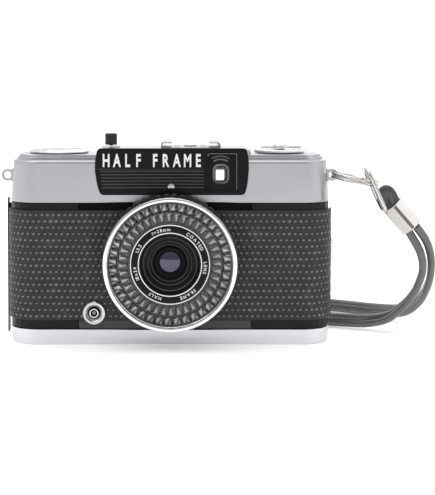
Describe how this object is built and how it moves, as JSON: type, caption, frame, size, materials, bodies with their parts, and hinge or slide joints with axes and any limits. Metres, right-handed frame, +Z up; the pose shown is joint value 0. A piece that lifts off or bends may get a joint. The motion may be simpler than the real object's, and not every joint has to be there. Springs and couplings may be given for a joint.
{
  "type": "half frame camera",
  "caption": "Compact metal half frame viewfinder camera with a light cell ring round its lens, a hinged back and a wrist strap.",
  "frame": {"origin": "middle of the base plate's underside, on the lens axis in X and at half the body's depth in Y", "axes": "+X along the body to the rewind end, -Y out of the lens, +Z up"},
  "size_m": [0.1548, 0.0778, 0.0727],
  "materials": {
    "satin_chrome": "satin plated",
    "bright_chrome": "polished",
    "black_metal": "black enamel",
    "black_skin": "embossed covering",
    "dull_steel": "plain",
    "glass": "polished",
    "light_cell": "selenium coating",
    "brass": "plain",
    "strap_cord": "moulded flat cord"
  },
  "bodies": {
    "camera": {"body_casting": "black_metal", "front_apron": "black_metal", "front_skin": "black_skin", "base_plate": "satin_chrome", "tripod_bush": "dull_steel", "top_cover": "satin_chrome", "faceplate": "black_metal", "faceplate_screw": "black_metal", "finder_tube": "black_metal", "finder_front_lens": "glass", "finder_rear_lens": "glass", "eyepiece_frame": "black_metal", "hot_shoe": "satin_chrome", "hot_shoe_contact": "brass", "strap_lug_left": "dull_steel", "strap_lug_right": "dull_steel", "flash_socket_ring": "bright_chrome", "flash_socket_core": "brass", "lens_barrel": "black_metal", "front_rim": "bright_chrome", "prism_window": "glass", "light_cell": "light_cell", "name_ring": "black_metal", "front_element": "glass", "middle_element": "glass", "rear_element": "glass", "shutter_plate": "dull_steel", "counter_bezel": "satin_chrome", "counter_window": "glass", "release_collar": "bright_chrome", "meter_coil": "black_metal", "hinge_bracket": "black_metal", "hinge_pin": "dull_steel", "split_ring": "bright_chrome", "strap_link": "bright_chrome", "strap_end_loop": "strap_cord", "strap_ferrule": "bright_chrome", "strap_cord": "strap_cord"},
    "aperture_control": {"aperture_ring": "black_metal"},
    "film_speed_control": {"film_speed_ring": "black_metal"},
    "aperture_leaf_a": {"aperture_blade_a": "dull_steel"},
    "aperture_leaf_b": {"aperture_blade_b": "dull_steel"},
    "release": {"shutter_button": "bright_chrome", "soft_release": "black_metal"},
    "shutter_leaf_a": {"shutter_blade_a": "black_metal"},
    "shutter_leaf_b": {"shutter_blade_b": "black_metal"},
    "winder": {"winding_wheel": "black_metal"},
    "sprocket": {"film_sprocket": "dull_steel"},
    "spool": {"take_up_spool": "black_metal"},
    "counter": {"counter_dial": "black_metal"},
    "rewind_lifter": {"rewind_lift_ring": "dull_steel"},
    "rewinder": {"rewind_knob": "bright_chrome", "rewind_shaft": "dull_steel"},
    "crank": {"rewind_crank": "bright_chrome"},
    "door": {"back_door": "satin_chrome", "back_skin": "black_skin"},
    "film_press": {"pressure_plate": "dull_steel"},
    "latch": {"door_latch": "satin_chrome"},
    "rewind_release": {"rewind_release_button": "satin_chrome"},
    "needle": {"meter_needle": "bright_chrome"}
  },
  "joints": [
    {"name": "aperture_turn", "type": "hinge", "parent": "camera", "child": "aperture_control", "pos_m": [0, -0.0199, 0.0295], "axis": [0, 1, 0], "range_deg": [0, 100]},
    {"name": "film_speed_turn", "type": "hinge", "parent": "camera", "child": "film_speed_control", "pos_m": [0, -0.0165, 0.0295], "axis": [0, 1, 0], "range_deg": [-40, 40]},
    {"name": "aperture_leaf_a_swing", "type": "hinge", "parent": "camera", "child": "aperture_leaf_a", "pos_m": [0.009, -0.0144, 0.0295], "axis": [0, 1, 0], "range_deg": [0, 25]},
    {"name": "aperture_leaf_b_swing", "type": "hinge", "parent": "camera", "child": "aperture_leaf_b", "pos_m": [-0.009, -0.0139, 0.0295], "axis": [0, 1, 0], "range_deg": [0, 25]},
    {"name": "release_press", "type": "slide", "parent": "camera", "child": "release", "axis": [0, 0, -1], "range_m": [0, 0.002], "stiffness_N_per_m": 300},
    {"name": "shutter_leaf_a_swing", "type": "hinge", "parent": "camera", "child": "shutter_leaf_a", "pos_m": [0.009, -0.0154, 0.0295], "axis": [0, 1, 0], "range_deg": [0, 25]},
    {"name": "shutter_leaf_b_swing", "type": "hinge", "parent": "camera", "child": "shutter_leaf_b", "pos_m": [-0.009, -0.0149, 0.0295], "axis": [0, 1, 0], "range_deg": [0, 25]},
    {"name": "winding_turn", "type": "hinge", "parent": "camera", "child": "winder", "pos_m": [-0.036, 0.0052, 0.052], "axis": [0, 0, 1], "continuous": true},
    {"name": "sprocket_turn", "type": "hinge", "parent": "camera", "child": "sprocket", "pos_m": [-0.0197, 0.0046, 0.028], "axis": [0, 0, 1], "continuous": true},
    {"name": "spool_turn", "type": "hinge", "parent": "camera", "child": "spool", "pos_m": [-0.0394, 0.0002, 0.028], "axis": [0, 0, 1], "continuous": true},
    {"name": "counter_turn", "type": "hinge", "parent": "camera", "child": "counter", "pos_m": [-0.0394, 0.0002, 0.066], "axis": [0, 0, 1], "continuous": true},
    {"name": "rewind_lift", "type": "slide", "parent": "camera", "child": "rewind_lifter", "axis": [0, 0, 1], "range_m": [0, 0.008]},
    {"name": "rewind_turn", "type": "hinge", "parent": "rewind_lifter", "child": "rewinder", "pos_m": [0.0391, 0.0002, 0.06], "axis": [0, 0, 1], "continuous": true},
    {"name": "crank_fold", "type": "hinge", "parent": "rewinder", "child": "crank", "pos_m": [0.0326, 0.0002, 0.06765], "axis": [0, -1, 0], "range_deg": [0, 150]},
    {"name": "door_swing", "type": "hinge", "parent": "camera", "child": "door", "pos_m": [-0.0572, 0.0087, 0.028], "axis": [0, 0, 1], "range_deg": [0, 95]},
    {"name": "film_press_slide", "type": "slide", "parent": "door", "child": "film_press", "axis": [0, 1, 0], "range_m": [-0.0005, 0.001], "stiffness_N_per_m": 500},
    {"name": "latch_slide", "type": "slide", "parent": "camera", "child": "latch", "axis": [0, 0, -1], "range_m": [0, 0.004], "stiffness_N_per_m": 200},
    {"name": "rewind_release_press", "type": "slide", "parent": "camera", "child": "rewind_release", "axis": [0, 0, 1], "range_m": [0, 0.0009], "stiffness_N_per_m": 300},
    {"name": "needle_swing", "type": "hinge", "parent": "camera", "child": "needle", "pos_m": [-0.008, 0.002, 0.0565], "axis": [0, 0, 1], "range_deg": [-25, 25]}
  ],
  "couplings": [
    {"joint": "aperture_leaf_a_swing", "follows": "aperture_turn", "ratio": 0.25},
    {"joint": "aperture_leaf_b_swing", "follows": "aperture_turn", "ratio": 0.25},
    {"joint": "shutter_leaf_a_swing", "follows": "release_press", "rad_per_m": 215},
    {"joint": "shutter_leaf_b_swing", "follows": "release_press", "rad_per_m": 215},
    {"joint": "sprocket_turn", "follows": "winding_turn", "ratio": 1},
    {"joint": "spool_turn", "follows": "winding_turn", "ratio": 1},
    {"joint": "counter_turn", "follows": "winding_turn", "ratio": 0.0278}
  ]
}
